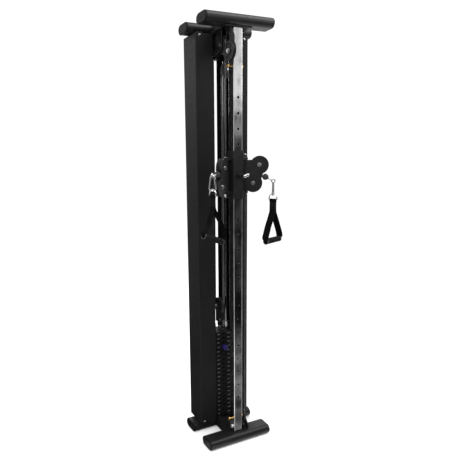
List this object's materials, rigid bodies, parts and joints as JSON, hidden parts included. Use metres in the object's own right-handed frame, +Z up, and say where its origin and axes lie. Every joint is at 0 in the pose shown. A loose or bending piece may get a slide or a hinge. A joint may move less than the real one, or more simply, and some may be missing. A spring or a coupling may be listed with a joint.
{
  "type": "cable pulley machine",
  "caption": "Tall free-standing cable machine: drilled chrome column, sliding carriage with two swivel pulley brackets and handles, covered weight stack, oval cross bars.",
  "frame": {"origin": "on the floor, on the vertical centreline of the drilled column", "axes": "+Z up, the front with the handles faces -Y, +X to the machine's right as seen from the front"},
  "size_m": [0.4941, 0.385, 2.205],
  "materials": {
    "frame_black": "satin black powder coat",
    "cover_black": "fine-textured black powder coat",
    "chrome": "polished chrome plate",
    "zinc": "bright zinc plate",
    "brass": "yellow zinc plate",
    "plate_black": "matte black weight plates",
    "pulley_black": "moulded black nylon",
    "cap_black": "moulded end caps and liners",
    "rubber_black": "black rubber",
    "cable_black": "black nylon-coated steel cable",
    "webbing_black": "black woven webbing",
    "grip_rubber": "ribbed rubber grip",
    "knob_violet": "dark violet knob"
  },
  "bodies": {
    "root": {"base_frame": "frame_black", "top_frame": "frame_black", "bar_end_caps": "cap_black", "column": "chrome", "stop_bolts": "brass", "frame_bolts": "zinc", "left_cover": "cover_black", "right_cover": "cover_black", "cover_brackets": "frame_black", "cover_screws": "zinc", "guide_rods": "chrome", "stack_bumpers": "rubber_black", "resting_plates": "plate_black", "top_pulley_bracket": "frame_black", "base_pulley_bracket": "frame_black", "frame_cable": "cable_black", "left_rise_cable": "cable_black", "right_rise_cable": "cable_black", "rear_fall_cable": "cable_black", "front_fall_cable": "cable_black"},
    "stack": {"head_plate": "plate_black", "lifted_plates": "plate_black", "head_bushes": "zinc", "selector_rod": "zinc", "pulley_yoke": "frame_black", "loop_cable": "cable_black"},
    "carriage": {"carriage_sleeve": "frame_black", "carriage_liners": "cap_black", "hinge_pivots": "chrome", "pin_barrel": "frame_black"},
    "pull_pin": {"pull_pin": "chrome"},
    "selector_pin": {"selector_pin": "knob_violet"},
    "floating_pulley": {"floating_pulley": "pulley_black"},
    "guide_pulley": {"guide_pulley": "pulley_black"},
    "turning_pulley": {"turning_pulley": "pulley_black"},
    "rear_pulley": {"rear_pulley": "pulley_black"},
    "return_pulley": {"return_pulley": "pulley_black"},
    "base_pulley": {"base_pulley": "pulley_black"},
    "left_bracket": {"left_bracket": "frame_black", "left_bracket_bolts": "zinc", "left_handle_cable": "cable_black"},
    "left_inner_pulley": {"left_inner_pulley": "pulley_black"},
    "left_outer_pulley": {"left_outer_pulley": "pulley_black"},
    "left_cable_end": {"left_ball_stop": "rubber_black"},
    "left_carabiner": {"left_carabiner": "chrome"},
    "left_gate": {"left_gate": "chrome"},
    "left_handle": {"left_d_ring": "chrome", "left_strap": "webbing_black"},
    "left_grip": {"left_grip": "grip_rubber"},
    "right_bracket": {"right_bracket": "frame_black", "right_bracket_bolts": "zinc", "right_handle_cable": "cable_black"},
    "right_inner_pulley": {"right_inner_pulley": "pulley_black"},
    "right_outer_pulley": {"right_outer_pulley": "pulley_black"},
    "right_cable_end": {"right_ball_stop": "rubber_black"},
    "right_carabiner": {"right_carabiner": "chrome"},
    "right_gate": {"right_gate": "chrome"},
    "right_handle": {"right_d_ring": "chrome", "right_strap": "webbing_black"},
    "right_grip": {"right_grip": "grip_rubber"}
  },
  "joints": [
    {"name": "carriage_slide", "type": "slide", "parent": "root", "child": "carriage", "axis": [0, 0, 1], "range_m": [-1.05, 0.375], "deforming": ["left_rise_cable", "right_rise_cable"]},
    {"name": "pull_pin_slide", "type": "slide", "parent": "carriage", "child": "pull_pin", "axis": [0, 1, 0], "range_m": [0, 0.012]},
    {"name": "stack_lift", "type": "slide", "parent": "root", "child": "stack", "axis": [0, 0, 1], "range_m": [0, 1.1], "deforming": ["rear_fall_cable", "front_fall_cable"]},
    {"name": "selector_pin_slide", "type": "slide", "parent": "stack", "child": "selector_pin", "axis": [0, -1, 0], "range_m": [0, 0.06]},
    {"name": "floating_pulley_spin", "type": "hinge", "parent": "stack", "child": "floating_pulley", "pos_m": [0, 0.175, 0.723], "axis": [1, 0, 0], "continuous": true},
    {"name": "guide_pulley_spin", "type": "hinge", "parent": "root", "child": "guide_pulley", "pos_m": [-0.056, -0.041, 2.035], "axis": [1, 0, 0], "continuous": true},
    {"name": "turning_pulley_spin", "type": "hinge", "parent": "root", "child": "turning_pulley", "pos_m": [-0.04571, 0.03969, 2.08], "axis": [0.968, -0.251, 0], "continuous": true},
    {"name": "rear_pulley_spin", "type": "hinge", "parent": "root", "child": "rear_pulley", "pos_m": [-0.01029, 0.17631, 2.08], "axis": [0.968, -0.251, 0], "continuous": true},
    {"name": "return_pulley_spin", "type": "hinge", "parent": "root", "child": "return_pulley", "pos_m": [0.03157, 0.10784, 1.985], "axis": [-0.638, -0.7701, 0], "continuous": true},
    {"name": "base_pulley_spin", "type": "hinge", "parent": "root", "child": "base_pulley", "pos_m": [0.05957, 0.04084, 0.098], "axis": [0.9962, -0.0872, 0], "continuous": true},
    {"name": "left_swivel", "type": "hinge", "parent": "carriage", "child": "left_bracket", "pos_m": [-0.056, 0, 1.453], "axis": [0, 0, 1], "range_deg": [-45, 40]},
    {"name": "left_inner_pulley_spin", "type": "hinge", "parent": "left_bracket", "child": "left_inner_pulley", "pos_m": [-0.08958, -0.02352, 1.4925], "axis": [-0.5736, 0.8192, 0], "continuous": true},
    {"name": "left_outer_pulley_spin", "type": "hinge", "parent": "left_bracket", "child": "left_outer_pulley", "pos_m": [-0.11531, -0.04153, 1.4026], "axis": [-0.5736, 0.8192, 0], "continuous": true},
    {"name": "left_pull", "type": "slide", "parent": "left_bracket", "child": "left_cable_end", "axis": [-0.8192, -0.5736, 0], "range_m": [0, 1.1]},
    {"name": "left_carabiner_swing", "type": "hinge", "parent": "left_cable_end", "child": "left_carabiner", "pos_m": [-0.18133, -0.08776, 1.4629], "axis": [-0.5736, 0.8192, 0], "range_deg": [-5, 60]},
    {"name": "left_handle_swing", "type": "hinge", "parent": "left_carabiner", "child": "left_handle", "pos_m": [-0.18133, -0.08776, 1.3897], "axis": [-0.8192, 0.5736, 0], "range_deg": [-5, 45]},
    {"name": "left_gate_hinge", "type": "hinge", "parent": "left_carabiner", "child": "left_gate", "pos_m": [-0.19368, -0.07911, 1.4049], "axis": [0.5736, 0.8192, 0], "range_deg": [0, 15], "stiffness_Nm_per_rad": 0.02, "springref_deg": -17.19},
    {"name": "left_grip_spin", "type": "hinge", "parent": "left_handle", "child": "left_grip", "pos_m": [-0.18133, -0.08776, 1.1592], "axis": [0.9254, 0.1632, -0.342], "continuous": true},
    {"name": "right_swivel", "type": "hinge", "parent": "carriage", "child": "right_bracket", "pos_m": [0.056, 0, 1.453], "axis": [0, 0, 1], "range_deg": [-40, 45]},
    {"name": "right_inner_pulley_spin", "type": "hinge", "parent": "right_bracket", "child": "right_inner_pulley", "pos_m": [0.08958, -0.02352, 1.4135], "axis": [-0.5736, -0.8192, 0], "continuous": true},
    {"name": "right_outer_pulley_spin", "type": "hinge", "parent": "right_bracket", "child": "right_outer_pulley", "pos_m": [0.11531, -0.04153, 1.5034], "axis": [-0.5736, -0.8192, 0], "continuous": true},
    {"name": "right_pull", "type": "slide", "parent": "right_bracket", "child": "right_cable_end", "axis": [0.8192, -0.5736, 0], "range_m": [0, 1.1]},
    {"name": "right_carabiner_swing", "type": "hinge", "parent": "right_cable_end", "child": "right_carabiner", "pos_m": [0.1715, -0.08087, 1.4229], "axis": [-0.5736, -0.8192, 0], "range_deg": [-5, 60]},
    {"name": "right_handle_swing", "type": "hinge", "parent": "right_carabiner", "child": "right_handle", "pos_m": [0.1715, -0.08087, 1.3497], "axis": [-0.7547, -0.6561, 0], "range_deg": [-5, 45]},
    {"name": "right_gate_hinge", "type": "hinge", "parent": "right_carabiner", "child": "right_gate", "pos_m": [0.16012, -0.09076, 1.3649], "axis": [-0.6561, 0.7547, 0], "range_deg": [0, 15], "stiffness_Nm_per_rad": 0.02, "springref_deg": -17.19},
    {"name": "right_grip_spin", "type": "hinge", "parent": "right_handle", "child": "right_grip", "pos_m": [0.1715, -0.08087, 1.1192], "axis": [0.9336, 0.3584, 0], "continuous": true}
  ],
  "couplings": [
    {"joint": "guide_pulley_spin", "follows": "stack_lift", "rad_per_m": -24.39},
    {"joint": "turning_pulley_spin", "follows": "stack_lift", "rad_per_m": 24.39},
    {"joint": "rear_pulley_spin", "follows": "stack_lift", "rad_per_m": 24.39},
    {"joint": "return_pulley_spin", "follows": "stack_lift", "rad_per_m": -24.39},
    {"joint": "base_pulley_spin", "follows": "stack_lift", "rad_per_m": -24.39},
    {"joint": "left_inner_pulley_spin", "follows": "stack_lift", "rad_per_m": 24.39},
    {"joint": "left_pull", "follows": "stack_lift", "ratio": 1},
    {"joint": "right_inner_pulley_spin", "follows": "stack_lift", "rad_per_m": -24.39},
    {"joint": "right_pull", "follows": "stack_lift", "ratio": 1}
  ]
}
